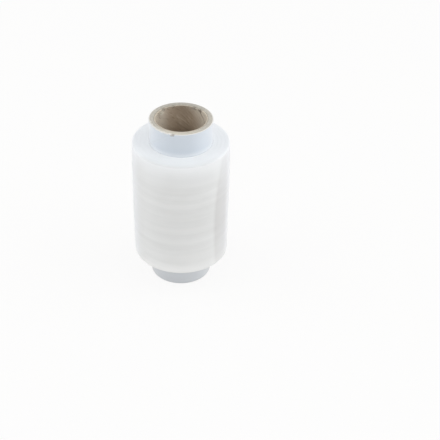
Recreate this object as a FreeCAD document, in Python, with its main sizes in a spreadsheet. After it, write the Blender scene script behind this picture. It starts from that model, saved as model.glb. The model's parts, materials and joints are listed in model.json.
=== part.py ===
import FreeCAD, Part
import math
import os
import re
import Sketcher

# A hand roll of stretch wrap, standing on one end of its core.
# It is two pieces: a spiral-wound paperboard tube, and the film that is wound tight on it.
# The tube is longer than the film is wide, so a neck of bare board shows at each end.
# +Z runs up the tube. The origin is the middle of the ring that the roll stands on.

# The driving sizes: name, value in millimetres, what it measures. A bearing is in degrees.
SIZES = [
    ("bore_width", 38.0, "inside diameter of the tube, which takes a spindle or a handle"),
    ("board_wall", 5.0, "thickness of the paperboard"),
    ("neck_below", 21.0, "bare tube below the film"),
    ("neck_above", 19.0, "bare tube above the film"),
    ("cut_bevel", 0.4, "corner that the saw crushes round each cut edge of the board"),
    ("ply_advance", 110.0, "length of tube that one turn of a paper ply covers"),
    ("cover_ply", 0.3, "thickness of the white ply outside"),
    ("seam_gap", 0.8, "space between edges of the white ply, along the tube"),
    ("seam_bearing", 258.0, "where that space meets the top cut, counted from +X"),
    ("cutter_clearance", 2.0, "how far the cut of the seam runs on past a neck"),
    ("film_width", 100.0, "width of the film, from end face to end face of the winding"),
    ("film_build", 12.8, "thickness of the wound film at its shoulders"),
    ("film_crown", 0.3, "how far the middle of the winding stands out past its shoulders"),
    ("shoulder_round", 1.5, "radius of the two outer corners of the winding"),
    ("ring_count", 4, "rings of turns that show on each end face of the winding"),
    ("ring_rise", 0.15, "how far the crest of a ring stands out of the end face"),
]

# Bands round the winding, from the lowest up. Each is a stretch where the film itself is a little
# thick, so that its turns pile up proud: the band's part of the height, and its rise in mm.
BANDS = [
    (7, 0.14),
    (14, 0.20),
    (12, 0.20),
    (9, 0.16),
    (8, 0.15),
    (8, 0.17),
    (9, 0.30),
    (7, 0.28),
    (24, 0.22),
]
BAND_NUMBERS = range(1, len(BANDS) + 1)

# Each shoulder is turned as this many flats.
SHOULDER_FLATS = 2

# What follows from the driving sizes: name, formula, what it measures.
WORKED_OUT = [
    ("bore_radius", "bore_width / 2", "inside radius of the tube"),
    ("tube_radius", "bore_radius + board_wall", "outside radius of the tube"),
    ("tube_length", "neck_below + film_width + neck_above", "whole length of the tube"),
    ("film_top", "neck_below + film_width", "height of the upper end face of the winding"),
    ("film_radius", "tube_radius + film_build", "radius of the winding at its shoulders"),
    ("ring_span", "film_build - shoulder_round", "width of the flat of an end face"),
    ("ring_foot", "neck_below + ring_rise", "height of the valleys between the lower rings"),
    ("ring_head", "film_top - ring_rise", "height of the valleys between the upper rings"),
    ("side_foot", "ring_foot + shoulder_round", "height where the lowest band starts"),
    ("side_head", "ring_head - shoulder_round", "height where the highest band ends"),
    ("band_parts", " + ".join(f"band_part_{n}" for n in BAND_NUMBERS), "all the bands' parts"),
]

doc = FreeCAD.newDocument("stretch_wrap_roll")
sheet = doc.addObject("Spreadsheet::Sheet", "sizes")


def fill_sheet():
    """Writes every size into a cell of its own, named with its alias."""
    rows = [(alias, repr(value), note) for alias, value, note in SIZES]
    for number, (part, rise) in zip(BAND_NUMBERS, BANDS):
        rows.append((f"band_part_{number}", repr(part), "part of the height of the side"))
        rows.append((f"band_rise_{number}", repr(rise), "how far the band stands proud"))
    rows += [(alias, f"={formula}", note) for alias, formula, note in WORKED_OUT]
    for row, (alias, text, note) in enumerate(rows, start=1):
        sheet.set(f"A{row}", alias)
        sheet.set(f"B{row}", text)
        sheet.setAlias(f"B{row}", alias)
        sheet.set(f"C{row}", note)
    doc.recompute()


def amount(formula):
    """What a formula in the sheet's names comes to."""
    return float(sheet.evalExpression(formula))


def bind(item, place, formula):
    """Ties a property of an object to a formula in the sheet's names."""
    item.setExpression(place, re.sub(r"([a-z]\w*)", r"sizes.\1", formula))


def new_body(name):
    body = doc.addObject("PartDesign::Body", name)
    body.Label = name
    return body


def datum(body, role):
    """One of a body's own origin planes or axes, such as XY_Plane."""
    return next(item for item in body.Origin.OriginFeatures if item.Role == role)


def new_sketch(body, name, role):
    """An empty sketch that lies on one of the body's own origin planes."""
    sketch = body.newObject("Sketcher::SketchObject", name)
    sketch.AttachmentSupport = [(datum(body, role), "")]
    sketch.MapMode = "FlatFace"
    doc.recompute()
    return sketch


def dimension(sketch, kind, geometry, name, formula):
    """Adds a named dimension to a sketch, tied to a formula."""
    index = sketch.addConstraint(Sketcher.Constraint(kind, *geometry, amount(formula)))
    sketch.renameConstraint(index, name)
    bind(sketch, f"Constraints.{name}", formula)


def circle(sketch, name, radius):
    """A circle round the sketch's origin, its radius a formula."""
    shape = Part.Circle(FreeCAD.Vector(), FreeCAD.Vector(0, 0, 1), amount(radius))
    index = sketch.addGeometry(shape, False)
    sketch.addConstraint(Sketcher.Constraint("Coincident", index, 3, -1, 1))
    dimension(sketch, "Radius", [index], name, radius)


def outline(sketch, corners):
    """Draws a closed outline of straight edges and ties it to the sheet.

    Each corner is a pair of formulas: its place across, and its place up.
    """
    places = [FreeCAD.Vector(amount(across), amount(up), 0) for across, up in corners]
    for index, place in enumerate(places):
        after = places[(index + 1) % len(places)]
        sketch.addGeometry(Part.LineSegment(place, after), False)
    for index, (across, up) in enumerate(corners):
        before = (index - 1) % len(corners)
        sketch.addConstraint(Sketcher.Constraint("Coincident", before, 2, index, 1))
        dimension(sketch, "DistanceX", [-1, 1, index, 1], f"across_{index}", across)
        dimension(sketch, "DistanceY", [-1, 1, index, 1], f"up_{index}", up)
    doc.recompute()


def cut_seam(body, name, foot, head):
    """Cuts one bare neck's stretch of the seam, where the edges of the white ply stand open.

    The seam is a groove that winds up the outside of the tube, one turn in every ply_advance. Its
    middle meets the top cut at seam_bearing, so at the foot it is the turns from there up behind.
    """
    section = new_sketch(body, f"{name}_section", "XZ_Plane")
    section.AttachmentOffset = FreeCAD.Placement(
        FreeCAD.Vector(), FreeCAD.Rotation(FreeCAD.Vector(0, 1, 0), 1)
    )
    bearing = f"seam_bearing - 360 * (tube_length - {foot}) / ply_advance"
    bind(section, "AttachmentOffset.Base.y", f"{foot} - seam_gap / 2")
    bind(section, "AttachmentOffset.Rotation.Angle", bearing)
    floor, outside = "tube_radius - cover_ply", "tube_radius + cutter_clearance"
    outline(section, [(floor, "0"), (outside, "0"), (outside, "seam_gap"), (floor, "seam_gap")])

    seam = body.newObject("PartDesign::SubtractiveHelix", name)
    seam.Profile = section
    seam.ReferenceAxis = (datum(body, "Z_Axis"), [""])
    seam.Mode = "pitch-height-angle"
    bind(seam, "Pitch", "ply_advance")
    bind(seam, "Height", f"{head} - {foot}")
    doc.recompute()


def make_core():
    """The tube of board: a sawn ring, crushed a little at its edges, with its spiral seam."""
    body = new_body("core")
    ring = new_sketch(body, "ring", "XY_Plane")
    circle(ring, "bore", "bore_radius")
    circle(ring, "outside", "tube_radius")
    tube = body.newObject("PartDesign::Pad", "tube")
    tube.Profile = ring
    bind(tube, "Length", "tube_length")
    doc.recompute()

    bevel = body.newObject("PartDesign::Chamfer", "sawn_edges")
    rims = [
        f"Edge{number}"
        for number, edge in enumerate(tube.Shape.Edges, start=1)
        if isinstance(edge.Curve, Part.Circle)
    ]
    bevel.Base = (tube, rims)
    bind(bevel, "Size", "cut_bevel")
    doc.recompute()

    cut_seam(body, "seam_below", "(-cutter_clearance)", "(neck_below + cutter_clearance)")
    cut_seam(
        body, "seam_above", "(film_top - cutter_clearance)", "(tube_length + cutter_clearance)"
    )
    return body


def shoulder(face, side):
    """Corners round an outer corner of the winding, from its end face to its side.

    They lie on a quarter circle between the heights where the face and the side end.
    """
    corners = []
    for step in range(SHOULDER_FLATS + 1):
        turn = math.radians(90 * step / SHOULDER_FLATS)
        across = f"film_radius - shoulder_round * {1 - math.sin(turn):.6f}"
        corners.append((across, f"{side} + ({face} - {side}) * {math.cos(turn):.6f}"))
    return corners


def rings(valley, crest):
    """Corners across an end face, from the tube outwards: each ring is a ridge with a crest."""
    count = int(amount("ring_count"))
    corners = []
    for ring in range(count):
        corners.append((f"tube_radius + ring_span * {ring} / {count}", valley))
        corners.append((f"tube_radius + ring_span * {ring + 0.5} / {count}", crest))
    return corners


def crown(share):
    """How far the side stands out past the shoulders, at a share of its height."""
    return f"4 * film_crown * {share} * (1 - {share})"


def side_height(share):
    return f"side_foot + (side_head - side_foot) * {share}"


def bands():
    """Corners up the side between the shoulders.

    The valleys between the bands lie on a crown, a parabola that is highest at mid height. Each
    band rises over its first quarter, stays level at its crest, and falls over its last quarter.
    """
    corners = []
    below = "0"
    for number in BAND_NUMBERS:
        foot, quarter = f"({below}) / band_parts", f"band_part_{number} / (4 * band_parts)"
        crest = f"film_radius + {crown(f'({foot} + 2 * {quarter})')} + band_rise_{number}"
        corners.append((f"film_radius + {crown(foot)}", side_height(foot)))
        corners.append((crest, side_height(f"({foot} + {quarter})")))
        corners.append((crest, side_height(f"({foot} + 3 * {quarter})")))
        below += f" + band_part_{number}"
    return corners[1:]


def make_film():
    """The film: all of its turns as one ring, turned from its half section."""
    body = new_body("film")
    section = new_sketch(body, "winding_section", "XZ_Plane")
    lower = rings("ring_foot", "neck_below") + shoulder("ring_foot", "side_foot")
    upper = rings("ring_head", "film_top") + shoulder("ring_head", "side_head")
    outline(section, lower + bands() + upper[::-1])
    winding = body.newObject("PartDesign::Revolution", "winding")
    winding.Profile = section
    winding.ReferenceAxis = (section, ["V_Axis"])
    winding.Angle = 360
    doc.recompute()
    return body


def check_document(bodies):
    """Stops if any feature failed, or if a piece is not one sound solid."""
    for item in doc.Objects:
        if "Invalid" in item.State or "Error" in item.State:
            raise RuntimeError(f"{item.Name} did not build: {item.State}")
    for body in bodies:
        shape = body.Shape
        if shape.isNull() or not shape.isValid() or len(shape.Solids) != 1:
            raise RuntimeError(f"{body.Label} is not one sound solid")


fill_sheet()
bodies = [make_core(), make_film()]
doc.recompute()
check_document(bodies)
os.makedirs("parts", exist_ok=True)
for body in bodies:
    body.Shape.exportStep(f"parts/{body.Label}.step")
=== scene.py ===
import json
import math

import bpy
import numpy as np
from mathutils import Matrix, Vector


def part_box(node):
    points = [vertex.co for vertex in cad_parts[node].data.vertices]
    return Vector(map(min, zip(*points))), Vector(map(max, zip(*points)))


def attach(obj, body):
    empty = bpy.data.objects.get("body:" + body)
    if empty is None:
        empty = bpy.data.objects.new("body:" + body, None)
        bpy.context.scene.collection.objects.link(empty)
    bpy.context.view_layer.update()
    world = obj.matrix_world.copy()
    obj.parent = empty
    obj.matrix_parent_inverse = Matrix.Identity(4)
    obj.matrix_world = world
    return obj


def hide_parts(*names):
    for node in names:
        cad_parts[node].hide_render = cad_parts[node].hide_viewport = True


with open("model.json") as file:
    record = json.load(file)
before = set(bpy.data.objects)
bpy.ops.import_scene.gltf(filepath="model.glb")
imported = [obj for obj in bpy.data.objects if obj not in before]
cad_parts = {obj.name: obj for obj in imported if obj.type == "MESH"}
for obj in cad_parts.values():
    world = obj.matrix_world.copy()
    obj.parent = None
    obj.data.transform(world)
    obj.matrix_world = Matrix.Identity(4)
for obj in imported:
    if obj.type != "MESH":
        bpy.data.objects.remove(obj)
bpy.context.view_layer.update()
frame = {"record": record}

# A hand roll of stretch wrap on its paperboard tube, dressed as the photograph shows it.
# Sizes are in millimetres and bearings in degrees from +X. Surfaces go into meshes in metres.
MM = 0.001
core_low, core_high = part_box("core")
film_low, film_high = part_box("film")
mounts = {mount["name"]: mount for mount in frame["record"]["mounts"]}

CORE_LENGTH = (core_high.z - core_low.z) / MM
CORE_RADIUS = mounts["neck_above"]["dims"]["r_mm"]
BORE_RADIUS = mounts["bore"]["dims"]["r_mm"]
FILM_FOOT = film_low.z / MM
FILM_TOP = film_high.z / MM
FILM_REACH = film_high.x / MM

# The winding's side stands out past its shoulders by a crown, and its bands by a little more.
FILM_CROWN = 0.3
BANDS_PROUD = 0.25
SHOULDER_RADIUS = FILM_REACH - FILM_CROWN - BANDS_PROUD
SHOULDER_ROUND = 1.5
# Each end face has rings, and the valleys between them lie RING_RISE within the film's width.
RING_COUNT = 4
RING_RISE = 0.15
FACE_LOW, FACE_HIGH = FILM_FOOT + RING_RISE, FILM_TOP - RING_RISE
FACE_EDGE = SHOULDER_RADIUS - SHOULDER_ROUND
SIDE_FOOT, SIDE_HEAD = FACE_LOW + SHOULDER_ROUND, FACE_HIGH - SHOULDER_ROUND
# Bands where the turns pile up: part of the side's height, and rise, from the lowest up.
BANDS = [
    (7, 0.14),
    (14, 0.20),
    (12, 0.20),
    (9, 0.16),
    (8, 0.15),
    (8, 0.17),
    (9, 0.30),
    (7, 0.28),
    (24, 0.22),
]
# Painted light and shade along the winding's bands, lighter above a ridge and darker below it:
# height, reach up and down, and how much lighter (or darker, if negative) it is there, in
# hundredths.
BAND_LIGHTING = [
    (29.5, 2.2, 1.7),
    (39.0, 2.0, 1.1),
    (44.2, 1.8, 1.8),
    (47.8, 1.8, -3.0),
    (52.8, 1.8, 2.2),
    (58.3, 1.9, -2.5),
    (63.8, 1.2, -1.1),
    (68.8, 1.5, 1.0),
    (71.8, 1.3, -1.0),
    (77.0, 2.0, 1.3),
    (82.0, 1.2, -2.8),
    (85.8, 1.4, 2.8),
    (90.6, 1.1, -2.6),
    (94.8, 2.0, 1.8),
    (104.5, 2.5, 1.7),
]
# The free end of the film. Its edge bows round the winding by a parabola in height, and comes
# furthest forward at its waist.
TAIL_BEARING = -42.5
TAIL_BOW = 10.5
TAIL_WAIST = 66.0
TAIL_HALF_HEIGHT = 50.0
TAIL_STEP = 0.05
TAIL_LIFT = 0.03
# Low on the right the turns stand prouder: bearing, reach round and up, and rise.
PROUD_BEARING = -22.0
PROUD_ROUND = 32.0
PROUD_UP = 16.0
PROUD_RISE = 0.5

# The core's plies wind up it, one turn in PLY_ADVANCE. Both seams are given where they meet the
# top cut.
PLY_ADVANCE = 110.0
COVER_SEAM = -102.0
LINER_SEAM = 53.0
COVER_PLY = 0.3
LINER_PLY = 0.5
SAWN_EDGE = 0.4
# How deep the cover ply's lip is torn, and how deep the nick beside its seam is.
TEAR_DEPTH = 0.35
NICK_DEPTH = 0.8
# Where the inner edge of the top cut is frayed: bearing, half width, and how badly. At the worst
# the edge is FRAY_SINK lower, and the bore FRAY_OUT wider.
FRAYED = [
    (137.0, 4.2, 1.0),
    (125.0, 2.0, 0.4),
    (111.0, 3.0, 0.8),
    (61.0, 4.4, 1.0),
    (45.0, 5.0, 1.0),
]
FRAY_SINK = 0.7
FRAY_OUT = 0.3
# The tones of the plies on a cut follow a sine wave: its radians to a millimetre.
PLY_WAVE = 10.05

# Loose fibres stand all round the sawn edges, but most in clusters, and the first TUFT_COUNT hang
# into the bore as a tuft.
FIBRE_COUNT = 370
FIBRE_STEPS = 6
FIBRE_SIDES = 3
FIBRE_SAG = 0.35
FIBRE_CLUSTERS = [138.0, 145.0, 113.0, 63.0, 52.0, -120.0, -135.0]
CLUSTERED = 0.62
TUFT_COUNT = 110
TUFT_BEARING = 145.0

# How many even columns go round each skin, before those that crowd in on its seams or its tail.
COLUMNS = 340
# The parts of each section's loop. The core's are also the numbers of its materials.
OUTSIDE, CUT, BORE = range(3)
HIDDEN, FACE, SHOULDER, SIDE = range(4)

# The room's light, and how it leans towards +X. A soft box stands to each side of the roll, and
# the right one's place is given.
ROOM_LIGHT = 0.81
ROOM_LEAN = 0.14
LAMP_PLACE = (1300.0, -150.0, 1100.0)
LAMP_AIM = (0.0, 0.0, 70.0)
LAMP_WIDTH = 1600.0
LAMP_POWER = 9.0
LAMP_TINT = (0.90, 0.95, 1.0)
# The floor: half its width, the white that the camera sees on it, and that white's share beside
# the floor's own lit colour.
FLOOR_HALF = 6000.0
FLOOR_WHITE = 0.985
FLOOR_GLOW = 0.88
# The photograph's camera. Its angles are in radians.
CAMERA_EYE = (31.065, -585.310, 485.000)
CAMERA_PITCH = 0.642
CAMERA_ROLL = 0.032
CAMERA_LENS = 75.0
CAMERA_FRAME = 36.0

rng = np.random.default_rng(2140)


def smooth_step(value, low, high):
    """0 below low, 1 above high, and 3t^2 - 2t^3 between them."""
    share = np.clip((value - low) / (high - low), 0.0, 1.0)
    return share * share * (3.0 - 2.0 * share)


def fade_out(value, low, high):
    """1 below low, 0 above high, and a smooth way down between them."""
    return 1.0 - smooth_step(value, low, high)


def bell(distance, reach):
    """exp(-(distance / reach)^2): 1 at no distance, and next to nothing at twice the reach."""
    return np.exp(-((distance / reach) ** 2))


def round_angle(degrees):
    """The same bearing between -180 and 180 degrees."""
    return (degrees + 180.0) % 360.0 - 180.0


def ripple(amounts, lengths, along, around, twist=3):
    """A sum of sine waves along a line, each shifted a little as it goes round.

    Wave i is amount_i * sin(2 pi * along / length_i + phase_i + sway_i * sin(n_i * around +
    phase_i)), with its phase, sway and whole number n_i drawn once.
    """
    total = np.zeros(np.broadcast(along, around).shape)
    for amount, length in zip(amounts, lengths):
        phase, sway = rng.uniform(0, 2 * math.pi), rng.uniform(0.2, 1.2)
        turns = rng.integers(1, twist + 1)
        swing = sway * np.sin(turns * np.radians(around) + phase)
        total += amount * np.sin(2 * math.pi * along / length + phase + swing)
    return total


def patches(around, along, count, length):
    """Random numbers from 0 to 1 on a grid of patches, with a smooth way from each to the next.

    count patches go round the axis, and each is length long. A number is a blend of its four
    nearest grid points, by 3t^2 - 2t^3 of how far it lies between them each way.
    """
    across = (around % 360.0) / 360.0 * count
    up = (along - np.min(along)) / length
    grid = rng.random((count, int(np.max(up)) + 2))
    left, foot = np.floor(across).astype(int) % count, np.floor(up).astype(int)
    right = (left + 1) % count
    to_right = smooth_step(across - np.floor(across), 0.0, 1.0)
    to_head = smooth_step(up - foot, 0.0, 1.0)
    lower = grid[left, foot] * (1.0 - to_right) + grid[right, foot] * to_right
    upper = grid[left, foot + 1] * (1.0 - to_right) + grid[right, foot + 1] * to_right
    return lower * (1.0 - to_head) + upper * to_head


def crowded(count, spots):
    """Bearings all round the axis, evenly spaced but closer together beside each spot.

    A spot is a bearing, how many extra columns it gets and how far to each side they reach. They
    lie at the spot plus reach * t * |t| for t from -1 to 1, so that they crowd in on it. A column
    that lies within 0.02 degrees of the next is left out.
    """
    columns = [np.linspace(-180.0, 180.0, count, endpoint=False)]
    for bearing, extra, reach in spots:
        t = np.linspace(-1.0, 1.0, extra)
        columns.append(round_angle(bearing + reach * t * np.abs(t)))
    together = np.sort(np.concatenate(columns))
    gap = np.diff(together, append=together[0] + 360.0)
    return together[gap > 0.02]


def put(name, data):
    """Puts data, such as a mesh or a light, into the scene as an object."""
    thing = bpy.data.objects.new(name, data)
    bpy.context.scene.collection.objects.link(thing)
    return thing


def ring_skin(name, radius, height, bearing, zones, marks):
    """A closed ring of skin: rows run round a loop of its section, columns run round the axis.

    A point is (radius cos bearing, radius sin bearing, height), from three arrays of rows by
    columns. Faces join each row to the next and each column to the next, and the last to the first
    both ways, so the skin has no edge and no pole. zones gives each row's material, and marks
    gives named numbers for each point.
    """
    radius, height, bearing = np.broadcast_arrays(radius, height, bearing)
    rows, columns = radius.shape
    angle = np.radians(bearing)
    points = np.stack([radius * np.cos(angle), radius * np.sin(angle), height], axis=-1) * MM
    row, column = np.meshgrid(np.arange(rows), np.arange(columns), indexing="ij")
    next_row, next_column = (row + 1) % rows, (column + 1) % columns
    corners = [row * columns + column, row * columns + next_column]
    corners += [next_row * columns + next_column, next_row * columns + column]
    faces = np.stack([corner.ravel() for corner in corners], axis=-1)

    mesh = bpy.data.meshes.new(name)
    mesh.vertices.add(rows * columns)
    mesh.vertices.foreach_set("co", points.astype(np.float32).ravel())
    mesh.loops.add(faces.size)
    mesh.loops.foreach_set("vertex_index", faces.astype(np.int32).ravel())
    mesh.polygons.add(len(faces))
    mesh.polygons.foreach_set("loop_start", np.arange(0, faces.size, 4, dtype=np.int32))
    mesh.polygons.foreach_set("use_smooth", np.ones(len(faces), dtype=bool))
    mesh.polygons.foreach_set("material_index", np.repeat(zones.astype(np.int32), columns))
    for mark, values in marks.items():
        of_point = np.broadcast_to(values, radius.shape).astype(np.float32)
        layer = mesh.attributes.new(mark, "FLOAT", "POINT")
        layer.data.foreach_set("value", of_point.ravel())
    mesh.update(calc_edges=True)
    mesh.validate()
    return put(name, mesh)


def join_loop(*stretches):
    """Joins stretches of a section, each (part, radii, heights), to one (radius, height, part)."""
    parts, radii, heights = zip(*stretches)
    part = np.repeat(parts, [len(radius) for radius in radii])
    return np.concatenate(radii), np.concatenate(heights), part


def film_loop():
    """The winding's section as a loop of (radius, height, part), before its relief.

    It runs out across the lower end face, round the shoulder, up the side, round the upper
    shoulder, in across the upper end face, and down the film's bore, which is hidden.
    """
    face_rows, shoulder_rows, side_rows = 34, 6, 150
    flat = np.linspace(CORE_RADIUS, FACE_EDGE, face_rows)
    turn = np.radians(np.linspace(0.0, 90.0, shoulder_rows + 2)[1:-1])
    across = SHOULDER_RADIUS - SHOULDER_ROUND * (1.0 - np.sin(turn))
    sink = SHOULDER_ROUND * (1.0 - np.cos(turn))
    up = np.linspace(SIDE_FOOT, SIDE_HEAD, side_rows)
    down = np.linspace(FACE_HIGH, FACE_LOW, 5)[1:-1]
    return join_loop(
        (FACE, flat, np.full(face_rows, FACE_LOW)),
        (SHOULDER, across, FACE_LOW + sink),
        (SIDE, np.full(side_rows, SHOULDER_RADIUS), up),
        (SHOULDER, across[::-1], FACE_HIGH - sink[::-1]),
        (FACE, flat[::-1], np.full(face_rows, FACE_HIGH)),
        (HIDDEN, np.full(len(down), CORE_RADIUS), down),
    )


def band_height(share):
    """How far the bands stand proud at a share of the side's height, and which band that is.

    A band rises over its first 0.3, stays level, and falls over its last 0.3.
    """
    parts = np.array([part for part, rise in BANDS], float)
    rises = np.array([rise for part, rise in BANDS])
    edges = np.concatenate([[0.0], np.cumsum(parts)]) / parts.sum()
    which = np.clip(np.searchsorted(edges, share, side="right") - 1, 0, len(BANDS) - 1)
    within = (share - edges[which]) / (edges[which + 1] - edges[which])
    return rises[which] * smooth_step(np.minimum(within, 1.0 - within), 0.0, 0.3), which


def tail_shift(height):
    """How far round the tail's edge lies from its bearing at the waist: a parabola in height.

    Below the waist it bows a third as much.
    """
    below = np.where(height < TAIL_WAIST, 1.0 / 3.0, 1.0)
    return TAIL_BOW * below * ((height - TAIL_WAIST) / TAIL_HALF_HEIGHT) ** 2


def side_relief(height, bearing, from_tail):
    """How far the film's side stands out past its shoulders.

    It is the sum of a crown, which is a parabola, the bands, each a little uneven as it goes
    round, fine ripples, the step of the tail, and the prouder turns low on the right.
    """
    share = np.clip((height - SIDE_FOOT) / (SIDE_HEAD - SIDE_FOOT), 0.0, 1.0)
    bands, which = band_height(share)
    sway = rng.uniform(0, 2 * math.pi, len(BANDS))
    turns = rng.integers(1, 4, len(BANDS))
    uneven = 1.0 + 0.22 * np.sin(turns[which] * np.radians(bearing) + sway[which])
    relief = 4.0 * FILM_CROWN * share * (1.0 - share) + bands * uneven
    relief += ripple([0.009, 0.008, 0.006, 0.004], [5.3, 3.7, 2.9, 2.1], height, bearing)
    relief += ripple([0.02, 0.015], [23.0, 61.0], height + 14.0 * np.radians(bearing), bearing)
    beyond = smooth_step(from_tail, -1.2, 2.6) * fade_out(from_tail, 30.0, 75.0)
    loose = np.exp(-np.maximum(from_tail, 0.0) / 2.6) * (0.55 + 0.45 * np.sin(height / 6.1))
    relief += beyond * (TAIL_STEP + TAIL_LIFT * loose)
    round_to = round_angle(bearing - PROUD_BEARING)
    return relief + PROUD_RISE * bell(round_to, PROUD_ROUND) * bell(height - FILM_FOOT, PROUD_UP)


def side_shade(height, bearing, from_tail):
    """Painted shade on the film's side, from 0 to 1: most beside the tail, and a little at the left.

    Beside the tail it is a strip that fades towards the top and the foot.
    """
    strip = smooth_step(from_tail, -5.5, 2.5) * (1.0 - 0.5 * smooth_step(height, 84.0, 108.0))
    strip = strip * (0.75 + 0.25 * smooth_step(height, 34.0, 56.0))
    shade = 0.12 * smooth_step(bearing, -80.0, -50.0) + 0.7 * strip
    return shade * fade_out(bearing, -26.0, -8.0) + 0.2 * bell(round_angle(bearing + 143.0), 10.0)


def side_tone(height, bearing):
    """How much lighter, or darker if negative, the film's side is, in hundredths.

    It is fine ripples of tone plus one bell curve in height for each band tone, which is painted
    light and shade.
    """
    tone = ripple([0.25, 0.2, 0.2], [7.7, 4.3, 2.7], height, bearing)
    for level, reach, amount in BAND_LIGHTING:
        sway = 0.7 + 0.3 * np.sin(rng.integers(1, 4) * np.radians(bearing) + rng.uniform(0, 6.3))
        tone = tone + amount * sway * bell(height - level, reach)
    return tone


def make_film():
    """The film's turns as one skin: the plain winding plus its relief.

    The relief fades out round the shoulders. The end faces get broad rings, each 1 - cos of how
    far out it is, and the fine rings of single turns, which wander a little as they go round.
    """
    radius, height, part = film_loop()
    radius, height = radius[:, None], height[:, None]
    face, shoulder, side = ((part == which)[:, None] * 1.0 for which in (FACE, SHOULDER, SIDE))
    columns = crowded(COLUMNS, [(TAIL_BEARING, 44, 9.0)])[None, :]
    from_tail = round_angle(columns - TAIL_BEARING)
    bearing = columns + tail_shift(height) * bell(from_tail, 26.0)

    rounded = np.clip((radius - FACE_EDGE) / SHOULDER_ROUND, 0.0, 1.0)
    relief = side_relief(height, bearing, from_tail) * (side + shoulder * rounded)

    across = (radius - CORE_RADIUS) / (FACE_EDGE - CORE_RADIUS)
    broad = RING_RISE * (0.5 - 0.5 * np.cos(2 * math.pi * RING_COUNT * across))
    fine = ripple([0.006, 0.005, 0.004], [1.9, 1.3, 0.9], radius, bearing)
    outward = np.where(height > (FILM_FOOT + FILM_TOP) / 2, 1.0, -1.0)
    rings = outward * face * smooth_step(across, 0.0, 0.05) * (0.4 * broad + fine)
    marks = {"shade": side * side_shade(height, bearing, from_tail)}
    marks["tone"] = side * side_tone(height, bearing)
    zones = np.where(part == SIDE, 0, 1)
    return ring_skin("film_roll", radius + relief, height + rings, bearing, zones, marks)


def core_loop():
    """The tube's section as a loop of (radius, height, part), before its relief.

    It runs up the outside, in across the top cut, down the bore and out across the lower cut.
    Rows lie close together where the board shows, and never so far apart that the columns, which
    wind from row to row, cut the corner by more than 0.15.
    """
    top, edge = CORE_LENGTH, SAWN_EDGE
    outside = np.concatenate([
        np.linspace(edge, FILM_FOOT + 1.0, 32),
        np.linspace(FILM_FOOT + 1.0, FILM_TOP - 1.0, 29)[1:-1],
        np.linspace(FILM_TOP - 1.0, top - 2.4, 30),
        np.linspace(top - 2.4, top - edge, 10)[1:],
    ])
    cut = np.linspace(CORE_RADIUS - edge, BORE_RADIUS + edge, 26)
    low_cut = cut[::2]
    bore = np.concatenate([
        np.linspace(top - edge, top - 4.0, 14),
        np.linspace(top - 4.0, top - 34.0, 36)[1:],
        np.linspace(top - 34.0, edge, 30)[1:],
    ])
    return join_loop(
        (OUTSIDE, np.full(len(outside), CORE_RADIUS), outside),
        (CUT, cut, np.full(len(cut), top)),
        (BORE, np.full(len(bore), BORE_RADIUS), bore),
        (CUT, low_cut[::-1], np.zeros(len(low_cut))),
    )


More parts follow.
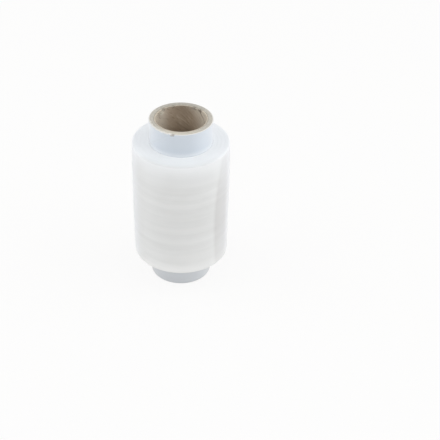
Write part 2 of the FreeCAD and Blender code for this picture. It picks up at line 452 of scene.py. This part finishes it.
class Tube:
    """The board tube's points: rows round its section by columns that wind up with its plies.

    A column that starts at some bearing turns on by 360 degrees in every PLY_ADVANCE of height, so
    each seam is one column. Wear is a number for each point, and 0 where there is none.
    """

    def __init__(self):
        radius, height, self.part = core_loop()
        self.radius, self.height = radius[:, None], height[:, None]
        to_foot = 360.0 * CORE_LENGTH / PLY_ADVANCE
        cover_column = round_angle(COVER_SEAM - to_foot)
        liner_column = round_angle(LINER_SEAM - to_foot)
        spots = [(cover_column, 40, 7.0), (liner_column, 36, 7.0)]
        self.columns = crowded(COLUMNS, spots)[None, :]
        self.bearing = self.columns + 360.0 * self.height / PLY_ADVANCE
        self.from_cover = round_angle(self.columns - cover_column)
        self.from_liner = round_angle(self.columns - liner_column)
        self.from_top = CORE_LENGTH - self.height
        self.through = (self.radius - BORE_RADIUS) / (CORE_RADIUS - BORE_RADIUS)
        self.outside, self.cut, self.bore = (
            (self.part == which)[:, None] * 1.0 for which in (OUTSIDE, CUT, BORE)
        )
        self.upper = self.height > CORE_LENGTH / 2
        self.top_cut = self.cut * self.upper
        self.wear_cover()
        self.wear_lining()

    def wear_cover(self):
        """The torn lip of the cover ply, on the side that it unwinds to, and a nick at its seam.

        How ragged the lip is, and how patchy its white, are sums and products of sine waves.
        """
        past_seam = -round_angle(self.bearing - COVER_SEAM)
        angle = np.radians(self.bearing)
        self.ragged = 0.55 + 0.35 * np.sin(31.0 * angle) + 0.2 * np.sin(67.0 * angle)
        self.patchy = 0.75 + 0.25 * np.sin(19.0 * angle) * np.sin(43.0 * angle)
        self.torn = smooth_step(past_seam, 0.0, 3.0) * fade_out(past_seam, 45.0, 80.0)
        self.nick = fade_out(np.abs(past_seam - 0.6), 3.0, 4.4)
        edge = TEAR_DEPTH * self.ragged
        self.torn_wall = self.torn * fade_out(self.from_top, edge + 0.25, edge + 0.75)
        self.nick_wall = self.nick * fade_out(self.from_top, 0.5, 1.1)

    def wear_lining(self):
        """The trench of the lining ply's seam, and the frayed inner edge of the top cut."""
        self.trench = self.bore * fade_out(np.abs(self.from_liner), 1.3, 2.0)
        self.frayed = np.zeros_like(self.bearing)
        for spot, half_width, badly in FRAYED:
            beside = bell(round_angle(self.bearing - spot), half_width)
            self.frayed = np.maximum(self.frayed, badly * beside)
        self.frayed_wall = self.bore * self.frayed * fade_out(self.from_top, 1.2, 3.0)
        self.frayed_cut = self.top_cut * self.frayed * fade_out(self.through, 0.06, 0.24)

    def relief(self):
        """How much further from the axis each point lies than on the plain tube.

        Outside, the cover ply is part gone in its seam, its nick and its torn lip. In the bore
        there is the trench, shallower near the ends, and the frayed edge. Both have a grain.
        """
        seam = fade_out(np.abs(self.from_cover), 1.0, 1.6)
        gone = np.maximum(0.4 * seam, np.maximum(self.nick_wall, self.torn_wall))
        from_end = np.minimum(self.height, self.from_top)
        depth = LINER_PLY * (0.6 + 0.4 * smooth_step(from_end, SAWN_EDGE, 1.5))
        along = self.height + 9.0 * np.radians(self.bearing)
        grain = ripple([0.03, 0.025, 0.02], [7.3, 4.1, 2.3], along, self.bearing, 9)
        outside = 0.25 * grain - COVER_PLY * gone
        bore = 0.8 * grain + depth * self.trench + FRAY_OUT * self.frayed_wall
        return self.outside * outside + self.bore * bore

    def sunk(self):
        """How far each point lies within the tube's length, measured from the nearer end.

        On the cuts, single plies stand a little up or down, and the outer corner is nicked and
        torn. The walls sink beside the cut as far as its corners do, so that no row passes
        another. The middle of the lower cut stays level, because the roll stands on it.
        """
        plies = 0.06 * np.sign(np.sin(math.pi * 8.0 * self.through + 0.6))
        along = 22.0 * np.radians(self.bearing)
        rough = ripple([0.05, 0.04, 0.035], [9.0, 4.3, 2.2], along, self.bearing, 7)
        sawn = 0.10 + 0.5 * np.abs(rough) - plies
        sawn = sawn * smooth_step(self.through, 0.02, 0.12) * fade_out(self.through, 0.93, 0.99)
        nick, tear = NICK_DEPTH * self.nick, TEAR_DEPTH * self.ragged * self.torn
        corner = nick * smooth_step(self.through, 0.82, 0.90)
        corner = corner + tear * smooth_step(self.through, 0.80, 0.97)
        outer_wall = self.outside * (nick + tear) * fade_out(self.from_top, SAWN_EDGE, 3.4)
        inner_wall = self.bore * self.frayed * fade_out(self.from_top, SAWN_EDGE, 2.5)
        sunk = self.cut * sawn + self.top_cut * corner + outer_wall
        sunk = sunk + FRAY_SINK * (self.frayed_cut + inner_wall)
        middle = (self.through > 0.2) & (self.through < 0.8)
        level = middle & (self.cut > 0.0) & ~self.upper
        return np.where(level, 0.0, np.maximum(sunk, 0.0))

    def materials(self):
        """Each row's material. The upper outer corner is painted as the cut, with its white edge."""
        zones = self.part.copy()
        zones[np.flatnonzero(zones == CUT)[0] - 1] = CUT
        return zones

    def marks(self):
        """The wear, and the painted light and shade, that the paints show, each from 0 to 1.

        fleck follows the long fibres of the lining ply, which lie along its winding, as columns do.
        """
        bare = self.outside * self.nick_wall
        bare = bare + self.top_cut * self.nick * smooth_step(self.through, 0.80, 0.86)
        on_cut = smooth_step(self.through - 0.16 * self.ragged, 0.60, 0.68)
        lip = self.patchy * (self.outside * self.torn_wall + self.top_cut * self.torn * on_cut)
        # dark is painted shade: the trench and the frayed hollows are painted near black.
        dark = np.maximum(self.trench, np.maximum(self.frayed_wall, self.frayed_cut))
        past_seam = smooth_step(self.from_liner, 1.5, 3.0) * fade_out(self.from_liner, 8.0, 46.0)
        # Past the liner's seam the ply is paler; lit_at_side is painted light on the bore's left and
        # right walls.
        lit_at_side = smooth_step(np.abs(np.cos(np.radians(self.bearing))), 0.4, 0.85)
        paler = self.bore * np.maximum(0.9 * past_seam, lit_at_side)
        # Painted shade: the bore's back wall is darker just under the cut, and deeper down.
        soiled = fade_out(self.from_top, 1.5, 13.0) + 0.8 * smooth_step(self.from_top, 13.0, 26.0)
        soiled = self.bore * bell(round_angle(self.bearing - 88.0), 30.0) * soiled
        fleck = 0.5 * patches(self.columns, self.height, 120, 3.5)
        fleck = fleck + 0.5 * patches(self.columns, self.height, 210, 1.6)
        marks = {"bare": bare, "lip": lip, "dark": dark}
        marks.update({"paler": paler, "soiled": soiled, "fleck": fleck})
        return marks


def make_core():
    """The board tube as one skin: the plain tube, with its relief and its worn ends."""
    tube = Tube()
    radius = tube.radius + tube.relief()
    height = tube.height - np.where(tube.upper, 1.0, -1.0) * tube.sunk()
    return ring_skin("core_tube", radius, height, tube.bearing, tube.materials(), tube.marks())


def unit(vectors):
    """The same directions, each with a length of 1."""
    return vectors / np.linalg.norm(vectors, axis=-1, keepdims=True)


def fibre_lines(up):
    """Where each fibre starts, which way it leans, its length and its width.

    Most stand on the inner edge and lean into the bore. The tuft's are longer, wider and lower.
    """
    count = FIBRE_COUNT
    tuft = np.arange(count) < TUFT_COUNT
    clustered = rng.random(count) < CLUSTERED
    clusters = rng.choice(FIBRE_CLUSTERS, count)
    bearing = np.where(clustered, clusters + rng.normal(0.0, 4.5, count), rng.uniform(-180, 180, count))
    bearing = np.where(tuft, TUFT_BEARING + rng.normal(0.0, 2.6, count), bearing)
    inner = tuft | (rng.random(count) < 0.7)
    radius = np.where(inner, BORE_RADIUS + 0.15, CORE_RADIUS - 0.25)
    length = np.where(tuft, rng.uniform(1.2, 2.6, count), rng.gamma(2.2, 0.32, count) + 0.25)
    width = np.where(tuft, rng.uniform(0.09, 0.16, count), rng.uniform(0.035, 0.085, count))
    depth = np.where(tuft, rng.uniform(1.5, 2.4, count), rng.uniform(0.35, 0.85, count))

    angle = np.radians(bearing)
    out = np.stack([np.cos(angle), np.sin(angle), np.zeros(count)], axis=-1)
    around = np.stack([-np.sin(angle), np.cos(angle), np.zeros(count)], axis=-1)
    root = out * radius[:, None] + up * (CORE_LENGTH - depth)[:, None]
    lean = out * (np.where(inner, -1.0, 0.25) * rng.uniform(0.3, 1.0, count))[:, None]
    lean += around * rng.normal(0.0, 0.8, count)[:, None]
    lean -= up * rng.uniform(-0.15, 0.9, count)[:, None]
    lean = np.where(tuft[:, None], 0.5 * lean - 0.6 * out - 0.5 * up, lean)
    return root, unit(lean), length, width


def make_fibres():
    """Paper fibres that stand off the sawn edges: each a thin curved blade with three sides.

    A fibre's middle line is root + length * (t * lean - FIBRE_SAG * t^2 * up), for t from 0 to 1,
    and its width falls from full at the root to almost nothing at the tip.
    """
    steps, sides = FIBRE_STEPS, FIBRE_SIDES
    up = np.array([0.0, 0.0, 1.0])
    root, lean, length, width = fibre_lines(up)
    t = np.linspace(0.0, 1.0, steps)[None, :, None]
    length, width = length[:, None, None], width[:, None, None]
    middle = root[:, None, :] + lean[:, None, :] * length * t - up * (FIBRE_SAG * length * t**2)
    side = unit(np.cross(lean, up))
    over = np.cross(lean, side)
    turn = np.radians(90.0 + 360.0 / sides * np.arange(sides))[None, None, :, None]
    section = side[:, None, None, :] * np.cos(turn) + over[:, None, None, :] * np.sin(turn)
    thick = width * (1.0 - 0.92 * t)
    points = middle[:, :, None, :] + section * thick[:, :, None, :]

    first = (np.arange(FIBRE_COUNT) * steps * sides)[:, None, None]
    ring = first + (np.arange(steps - 1) * sides)[None, :, None]
    corner = np.arange(sides)[None, None, :]
    after = (corner + 1) % sides
    walls = [ring + corner, ring + after, ring + sides + after, ring + sides + corner]
    walls = np.stack(walls, axis=-1).reshape(-1, 4)
    roots = first[:, 0] + np.arange(sides)[::-1]
    tips = first[:, 0] + (steps - 1) * sides + np.arange(sides)
    mesh = bpy.data.meshes.new("core_fibres")
    faces = walls.tolist() + roots.tolist() + tips.tolist()
    mesh.from_pydata((points.reshape(-1, 3) * MM).tolist(), [], faces)
    mesh.update()
    return put("core_fibres", mesh)


class Value:
    """A shader socket that takes part in sums: each operator on it adds a Math node."""

    def __init__(self, paint, socket):
        self.paint, self.socket = paint, socket

    def _math(self, operation, *terms):
        inputs = dict(enumerate(terms))
        return self.paint.add("ShaderNodeMath", {"operation": operation}, inputs)["Value"]

    def __add__(self, other):
        return self._math("ADD", self, other)

    def __sub__(self, other):
        return self._math("SUBTRACT", self, other)

    def __rsub__(self, other):
        return self._math("SUBTRACT", other, self)

    def __mul__(self, other):
        return self._math("MULTIPLY", self, other)

    __radd__, __rmul__ = __add__, __mul__

    def sine(self):
        return self._math("SINE", self)

    def rise(self, low, high):
        """0 below low and 1 above high, with a smooth way up between them."""
        settings = {"interpolation_type": "SMOOTHSTEP"}
        inputs = {"Value": self, "From Min": low, "From Max": high}
        return self.paint.add("ShaderNodeMapRange", settings, inputs)["Result"]

    def fall(self, low, high):
        """1 below low and 0 above high, with a smooth way down between them."""
        return 1.0 - self.rise(low, high)


class Paint:
    """The shader of one material or world, and the one method that adds a node to it."""

    def __init__(self, owner):
        owner.use_nodes = True
        self.owner, self.tree = owner, owner.node_tree
        self.tree.nodes.clear()

    def add(self, kind, settings=None, inputs=None):
        """Adds a node: its settings first, then its inputs, each a number, colour or Value.

        An input is named, or numbered where names repeat. Gives its outputs by name.
        """
        node = self.tree.nodes.new(kind)
        for setting, value in (settings or {}).items():
            setattr(node, setting, value)
        live = [socket for socket in node.inputs if socket.enabled]
        for key, value in (inputs or {}).items():
            if isinstance(key, int):
                socket = live[key]
            else:
                socket = next(s for s in live if s.name == key)
            if isinstance(value, Value):
                self.tree.links.new(value.socket, socket)
            else:
                socket.default_value = value
        return {s.name: Value(self, s) for s in node.outputs if s.enabled}

    def stretched(self, scale):
        """Object coordinates in metres, times a scale for each axis."""
        inputs = {0: self.add("ShaderNodeTexCoord")["Object"], 1: scale}
        return self.add("ShaderNodeVectorMath", {"operation": "MULTIPLY"}, inputs)["Vector"]

    def spot(self):
        """The place in millimetres, as X, Y and Z."""
        inputs = {0: self.stretched((1 / MM, 1 / MM, 1 / MM))}
        return self.add("ShaderNodeSeparateXYZ", None, inputs)

    def from_axis(self):
        """The distance from the roll's axis in millimetres."""
        inputs = {0: self.stretched((1 / MM, 1 / MM, 0.0))}
        return self.add("ShaderNodeVectorMath", {"operation": "LENGTH"}, inputs)["Value"]

    def noise(self, scale, detail=2.0, roughness=0.5):
        """Noise between 0 and 1 whose grain along each axis, in metres, is one over its scale."""
        inputs = {"Vector": self.stretched(scale), "Scale": 1.0, "Detail": detail}
        inputs["Roughness"] = roughness
        return self.add("ShaderNodeTexNoise", None, inputs)["Fac"]

    def blend(self, factor, start, end):
        """A colour between start and end."""
        inputs = {"Factor": factor, "A": start, "B": end}
        return self.add("ShaderNodeMix", {"data_type": "RGBA"}, inputs)["Result"]

    def scaled(self, tint, factor):
        """A colour times a number."""
        inputs = {"Vector": tint, "Scale": factor}
        return self.add("ShaderNodeVectorMath", {"operation": "SCALE"}, inputs)["Vector"]

    def mark(self, name):
        """A number that the mesh keeps for each point."""
        return self.add("ShaderNodeAttribute", {"attribute_name": name})["Fac"]

    def bump(self, height, distance, strength):
        """A normal tilted by a height between 0 and 1, where 1 stands out by distance."""
        inputs = {"Height": height, "Distance": distance * MM, "Strength": strength}
        return self.add("ShaderNodeBump", None, inputs)["Normal"]

    def finish(self, **inputs):
        """Ends the material in one Principled shader. Underscores in a name stand for spaces."""
        named = {name.replace("_", " "): value for name, value in inputs.items()}
        shader = self.add("ShaderNodeBsdfPrincipled", None, named)["BSDF"]
        self.add("ShaderNodeOutputMaterial", None, {"Surface": shader})
        return self.owner


def colour(red, green, blue):
    return (red, green, blue, 1.0)


def film_paint(name):
    """Starts a film material. Gives it, its white, and two mottles for its gloss and its grain."""
    paint = Paint(bpy.data.materials.new(name))
    streaks = paint.noise((14.0, 14.0, 620.0), 3.0, 0.55)
    broad = paint.noise((7.0, 7.0, 95.0))
    cloud = paint.noise((38.0, 38.0, 30.0), 3.0)
    white = paint.blend(broad.rise(0.35, 0.65), colour(0.72, 0.724, 0.712), colour(0.75, 0.754, 0.742))
    white = paint.blend(0.4 * streaks.rise(0.45, 0.75), white, colour(0.77, 0.765, 0.755))
    # Painted light: it is brighter towards the top, and a little towards the foot, where light spreads
    # in through the film's end faces.
    spot = paint.spot()
    ends = spot["Z"].rise(FILM_TOP - 27.0, FILM_TOP) + 0.35 * spot["Z"].fall(FILM_FOOT, FILM_FOOT + 12.0)
    white = paint.blend(ends, white, colour(0.79, 0.80, 0.795))
    # Painted reflection: both flanks are a little cooler, where the cool room shows in them at a
    # glancing angle.
    flank_reflection = (spot["X"] * spot["X"]).rise(27.0**2, 36.0**2)
    white = paint.blend(0.7 * flank_reflection, white, colour(0.76, 0.775, 0.80))
    return paint, white, cloud, 0.6 * streaks + 0.4 * cloud


def film_side_finish():
    """The outer turn of clear film over many: milky, glossy, and light spreads far within."""
    paint, white, cloud, grain = film_paint("film_side")
    # Painted shade: where the shade mark is high, the side is painted towards a warm grey.
    white = paint.blend(0.85 * paint.mark("shade"), white, colour(0.57, 0.56, 0.55))
    return paint.finish(
        # The tone mark paints light and shade along the bands.
        Base_Color=paint.scaled(white, 1.0 + 0.01 * paint.mark("tone")),
        Roughness=0.32 + 0.14 * cloud,
        Normal=paint.bump(grain, 0.10, 0.4),
        Subsurface_Weight=1.0,
        Subsurface_Radius=(1.0, 1.0, 1.0),
        Subsurface_Scale=30.0 * MM,
        Specular_IOR_Level=0.2,
        IOR=1.4,
    )


def film_end_finish():
    """The edges of the turns: the same film, but matt and less deep."""
    paint, white, cloud, grain = film_paint("film_end")
    # Painted light: the part of the top face away from the front is painted whiter.
    lit_back = paint.spot()["Y"].rise(-34.0, -18.0)
    white = paint.blend(0.78 * lit_back, white, colour(0.88, 0.885, 0.885))
    # Painted shade: at the front the outermost turns are painted a little darker than those within.
    radius = paint.from_axis()
    front_shade = radius.rise(32.5, 36.5) * (1.0 - 0.8 * lit_back)
    white = paint.blend(0.7 * front_shade, white, colour(0.74, 0.745, 0.74))
    # Painted light: against the tube the turns are painted pale, where shade would fall in the corner.
    lit_beside_tube = radius.fall(CORE_RADIUS + 0.2, CORE_RADIUS + 1.8)
    white = paint.blend(0.6 * lit_beside_tube, white, colour(0.96, 0.965, 0.965))
    return paint.finish(
        Base_Color=white,
        Roughness=0.6 + 0.14 * cloud,
        Normal=paint.bump(grain, 0.08, 0.3),
        Subsurface_Weight=0.25,
        Subsurface_Radius=(1.0, 1.0, 1.0),
        Subsurface_Scale=2.0 * MM,
        IOR=1.4,
    )


def cover_finish():
    """The white paper ply: cool white, faintly fibrous, with bare board where it is nicked."""
    paint = Paint(bpy.data.materials.new("cover_paper"))
    fibre = paint.noise((420.0, 420.0, 260.0), 4.0, 0.6)
    patch = paint.noise((40.0, 40.0, 60.0))
    white = paint.blend(patch, colour(0.545, 0.605, 0.67), colour(0.585, 0.64, 0.705))
    white = paint.blend(0.3 * fibre.rise(0.5, 0.8), white, colour(0.54, 0.585, 0.635))
    # Painted light: the paper is painted paler towards both sides than in front, more so on the right,
    # where the side light falls on it.
    spot = paint.spot()
    side = spot["X"].rise(6.0, 19.0) + 0.4 * spot["X"].fall(-19.0, -6.0)
    white = paint.blend(0.4 * side, white, colour(0.66, 0.715, 0.785))
    # Light that spreads out of the film brightens the paper just above it.
    height = spot["Z"]
    above_film = height.rise(FILM_TOP - 1.0, FILM_TOP) * height.fall(FILM_TOP, FILM_TOP + 4.5)
    white = paint.blend(0.75 * above_film, white, colour(0.80, 0.83, 0.86))
    # Painted shade: the foot of the tube, under the film, is a little darker and greyer.
    white = paint.blend(0.7 * height.fall(FILM_FOOT - 4.0, FILM_FOOT), white, colour(0.55, 0.565, 0.585))
    # Where the lip is torn the paper's own white shows.
    white = paint.blend(0.85 * paint.mark("lip"), white, colour(0.84, 0.83, 0.80))
    board = paint.blend(fibre, colour(0.20, 0.18, 0.155), colour(0.34, 0.315, 0.275))
    return paint.finish(
        Base_Color=paint.blend(paint.mark("bare"), white, board),
        Roughness=0.38 + 0.2 * fibre,
        Normal=paint.bump(fibre, 0.05, 0.4),
        Coat_Weight=1.0,
        Coat_Roughness=0.25,
        Sheen_Weight=0.8,
        Sheen_Roughness=0.6,
    )


def cut_finish():
    """The sawn end: rings of grey and beige plies, with the white ply's edge outside."""
    paint = Paint(bpy.data.materials.new("sawn_board"))
    radius = paint.from_axis()
    fuzz = paint.noise((520.0, 520.0, 520.0), 4.0, 0.65)
    swell = paint.noise((90.0, 90.0, 90.0))
    across = radius + 0.5 * fuzz + 0.5 * swell
    plies = 0.5 * (PLY_WAVE * across).sine() + 0.5
    board = paint.blend(plies, colour(0.45, 0.415, 0.357), colour(0.58, 0.54, 0.467))
    board = paint.blend(0.6 * fuzz.rise(0.55, 0.8), board, colour(0.54, 0.49, 0.42))
    # The inner plies are browner, with a dark parting and then a pale burr on the bore's edge.
    inner = radius.fall(BORE_RADIUS + 0.8, BORE_RADIUS + 1.5)
    board = paint.blend(0.7 * inner, board, colour(0.47, 0.40, 0.31))
    wander = radius + 0.9 * swell - 0.45
    parting = wander.rise(BORE_RADIUS + 0.7, BORE_RADIUS + 1.0)
    parting = parting * wander.fall(BORE_RADIUS + 1.1, BORE_RADIUS + 1.6)
    board = paint.blend(0.45 * parting, board, colour(0.22, 0.18, 0.135))
    burr = wander.fall(BORE_RADIUS + 0.35, BORE_RADIUS + 0.75)
    board = paint.blend(0.8 * burr, board, colour(0.66, 0.575, 0.45))
    mottle = paint.noise((620.0, 620.0, 620.0), 3.0, 0.7)
    board = paint.blend(0.3 * mottle.rise(0.52, 0.66), board, colour(0.30, 0.265, 0.21))
    board = paint.blend(0.3 * mottle.fall(0.34, 0.47), board, colour(0.78, 0.73, 0.62))
    # The cut is painted paler at its front, and a little darker at its back.
    back = paint.spot()["Y"]
    board = paint.blend(0.5 * back.fall(-21.0, -12.0), board, colour(0.655, 0.60, 0.49))
    board = paint.blend(0.4 * back.rise(8.0, 20.0), board, colour(0.36, 0.34, 0.295))
    # The white ply's edge runs round the outside, but for the nick, whose floor is grey.
    edge, bare = radius.rise(CORE_RADIUS - 0.85, CORE_RADIUS - 0.55), paint.mark("bare")
    board = paint.blend(edge * (1.0 - bare), board, colour(0.79, 0.765, 0.72))
    board = paint.blend(0.75 * bare, board, colour(0.42, 0.405, 0.395))
    board = paint.blend(0.85 * paint.mark("lip"), board, colour(0.81, 0.785, 0.735))
    # Painted shade: the frayed hollows are painted near black.
    board = paint.blend(0.9 * paint.mark("dark"), board, colour(0.16, 0.13, 0.10))
    return paint.finish(
        Base_Color=board,
        Roughness=0.85 + 0.1 * fuzz,
        Normal=paint.bump(0.5 * fuzz + 0.5 * plies, 0.18, 0.7),
    )


def liner_finish():
    """The brown ply that lines the bore: long grey and brown fibres."""
    paint = Paint(bpy.data.materials.new("lining_paper"))
    fibre = paint.noise((500.0, 500.0, 300.0), 5.0, 0.65)
    patch = paint.noise((75.0, 75.0, 55.0), 3.0)
    brown = paint.blend(patch, colour(0.43, 0.335, 0.245), colour(0.52, 0.42, 0.315))
    brown = paint.blend(0.5 * fibre.rise(0.5, 0.78), brown, colour(0.64, 0.55, 0.43))
    # The paler mark is the paler ply past the seam, plus painted light on the bore's side walls.
    brown = paint.blend(0.8 * paint.mark("paler"), brown, colour(0.68, 0.61, 0.51))
    fleck = paint.mark("fleck")
    brown = paint.blend(0.45 * fleck.rise(0.56, 0.82), brown, colour(0.70, 0.62, 0.50))
    brown = paint.blend(0.4 * fleck.fall(0.18, 0.42), brown, colour(0.24, 0.18, 0.13))
    # Painted shade on the bore's back wall.
    brown = paint.blend(0.6 * paint.mark("soiled"), brown, colour(0.26, 0.195, 0.14))
    # Painted shade: the trench and the frayed hollows are painted near black.
    brown = paint.blend(0.85 * paint.mark("dark"), brown, colour(0.12, 0.09, 0.07))
    return paint.finish(
        Base_Color=brown,
        Roughness=0.8 + 0.12 * fibre,
        Normal=paint.bump(fibre, 0.14, 0.6),
    )


def fibre_finish():
    """Loose paper fibres, paler than the board that they stand on."""
    paint = Paint(bpy.data.materials.new("loose_fibre"))
    shade = paint.noise((300.0, 300.0, 300.0))
    pale = paint.blend(shade, colour(0.62, 0.56, 0.46), colour(0.86, 0.81, 0.70))
    return paint.finish(Base_Color=pale, Roughness=0.85)


def floor_finish():
    """A white sweep: the camera sees it as plain white, less the shadow that falls on it."""
    paint = Paint(bpy.data.materials.new("white_sweep"))
    seen = paint.add("ShaderNodeLightPath")["Is Camera Ray"]
    grain = paint.noise((3.0, 3.0, 3.0))
    white = paint.blend(grain, colour(0.91, 0.88, 0.84), colour(0.92, 0.89, 0.85))
    matt = paint.add("ShaderNodeBsdfDiffuse", None, {"Color": white})["BSDF"]
    inputs = {"Color": colour(1.0, 1.0, 1.0), "Strength": FLOOR_WHITE}
    glow = paint.add("ShaderNodeEmission", None, inputs)["Emission"]
    mixed = paint.add("ShaderNodeMixShader", None, {0: seen * FLOOR_GLOW, 1: matt, 2: glow})
    paint.add("ShaderNodeOutputMaterial", None, {"Surface": mixed["Shader"]})
    return paint.owner


def dress(piece, *finishes):
    """Gives a piece its materials, in the order of their numbers."""
    for finish in finishes:
        piece.data.materials.append(finish())


def make_floor():
    half = FLOOR_HALF * MM
    mesh = bpy.data.meshes.new("floor")
    corners = [(-half, -half, 0.0), (half, -half, 0.0), (half, half, 0.0), (-half, half, 0.0)]
    mesh.from_pydata(corners, [], [(0, 1, 2, 3)])
    floor = put("floor", mesh)
    dress(floor, floor_finish)


def make_lamp(name, side):
    """A square soft box that points at the roll from the side that a sign gives."""
    across, back, up = LAMP_PLACE
    place = Vector((across * side, back, up)) * MM
    light = bpy.data.lights.new(name, "AREA")
    light.shape, light.size = "SQUARE", LAMP_WIDTH * MM
    light.energy, light.color = LAMP_POWER, LAMP_TINT
    lamp = put(name, light)
    lamp.location = place
    lamp.rotation_euler = (Vector(LAMP_AIM) * MM - place).to_track_quat("-Z", "Y").to_euler()


def make_world():
    """A room that is white to the camera, and whose light is ROOM_LIGHT * (1 + ROOM_LEAN * x)."""
    room = Paint(bpy.data.worlds.new("studio"))
    direction = room.add("ShaderNodeTexCoord")["Generated"]
    across = room.add("ShaderNodeSeparateXYZ", None, {0: direction})["X"]
    seen = room.add("ShaderNodeLightPath")["Is Camera Ray"]
    light = (1.0 - seen) * (ROOM_LIGHT * (1.0 + ROOM_LEAN * across)) + seen
    inputs = {"Color": colour(0.97, 0.98, 1.0), "Strength": light}
    background = room.add("ShaderNodeBackground", None, inputs)["Background"]
    room.add("ShaderNodeOutputWorld", None, {"Surface": background})
    bpy.context.scene.world = room.owner


def make_camera():
    """The photograph's camera, which looks down at the roll and is held a little askew."""
    pitch, roll = CAMERA_PITCH, CAMERA_ROLL
    forward = Vector((0.0, math.cos(pitch), -math.sin(pitch)))
    level_up = Vector((0.0, math.sin(pitch), math.cos(pitch)))
    level_right = Vector((1.0, 0.0, 0.0))
    right = level_right * math.cos(roll) + level_up * math.sin(roll)
    up = level_up * math.cos(roll) - level_right * math.sin(roll)
    camera = put("camera", bpy.data.cameras.new("camera"))
    camera.data.lens, camera.data.sensor_width = CAMERA_LENS, CAMERA_FRAME
    camera.data.clip_start, camera.data.clip_end = 0.01, 50.0
    turned = Matrix((right, up, -forward)).transposed()
    camera.matrix_world = Matrix.Translation(Vector(CAMERA_EYE) * MM) @ turned.to_4x4()
    bpy.context.scene.camera = camera


film = make_film()
dress(film, film_side_finish, film_end_finish)
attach(film, "root")
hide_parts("film")

core = make_core()
dress(core, cover_finish, cut_finish, liner_finish)
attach(core, "root")
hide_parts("core")

fibres = make_fibres()
dress(fibres, fibre_finish)
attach(fibres, "root")

make_floor()
make_world()
make_lamp("left_box", -1.0)
make_lamp("right_box", 1.0)
make_camera()
bpy.context.scene.view_settings.view_transform = "Standard"
